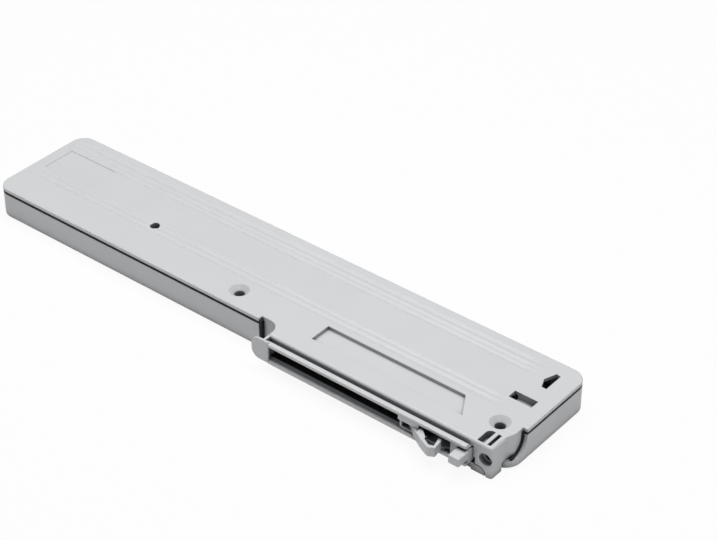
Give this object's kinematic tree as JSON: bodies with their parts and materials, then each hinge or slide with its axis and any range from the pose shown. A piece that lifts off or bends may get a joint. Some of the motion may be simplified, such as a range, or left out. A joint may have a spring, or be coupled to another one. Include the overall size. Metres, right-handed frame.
{
  "type": "sliding door cabinet damper",
  "caption": "Soft-close damper unit for a sliding cabinet door: flat two-part plastic housing, side rail, sliding carriage with sprung claw, piston damper and tension springs.",
  "frame": {"origin": "middle of the plain housing's flat back face, where the housing lies on its board", "axes": "+X along the housing towards the mechanism end, +Y across it away from the mechanism side, +Z through its thickness from the back face to the lid"},
  "size_m": [0.3, 0.0748, 0.016],
  "materials": {
    "shell_white": "fine satin moulded plastic, off-white",
    "mechanism_grey": "smooth moulded plastic, light grey",
    "dark_plastic": "black moulded plastic",
    "steel": "bright drawn steel",
    "spring_steel": "oiled spring wire",
    "tube_metal": "drawn aluminium tube",
    "seal_rubber": "black rubber"
  },
  "bodies": {
    "housing": {"tray": "shell_white", "lid": "shell_white", "guide_rail": "shell_white", "damper_tube": "tube_metal", "damper_end_plug": "dark_plastic", "damper_gland": "dark_plastic", "rod_seal": "seal_rubber", "front_spring": "spring_steel", "back_spring": "spring_steel", "front_spring_fixed_eye": "dark_plastic", "back_spring_fixed_eye": "dark_plastic", "slide_strip": "dark_plastic", "seam_gasket": "seal_rubber"},
    "carriage": {"carriage": "mechanism_grey", "claw_pin": "steel", "claw_spring": "spring_steel", "draw_bar": "mechanism_grey", "coupling_pin": "steel", "rod_clip": "dark_plastic", "piston": "mechanism_grey", "piston_seal": "seal_rubber", "piston_rod": "steel", "front_spring_moving_eye": "dark_plastic", "back_spring_moving_eye": "dark_plastic"},
    "claw": {"claw": "mechanism_grey"}
  },
  "joints": [
    {"name": "carriage_slide", "type": "slide", "parent": "housing", "child": "carriage", "axis": [1, 0, 0], "range_m": [-0.068, 0], "deforming": ["front_spring", "back_spring"]},
    {"name": "claw_pivot", "type": "hinge", "parent": "carriage", "child": "claw", "pos_m": [0.1068, -0.03425, 0.009], "axis": [0, 0, 1], "range_deg": [0, 16], "stiffness_Nm_per_rad": 0.02, "deforming": ["claw_spring"]}
  ]
}
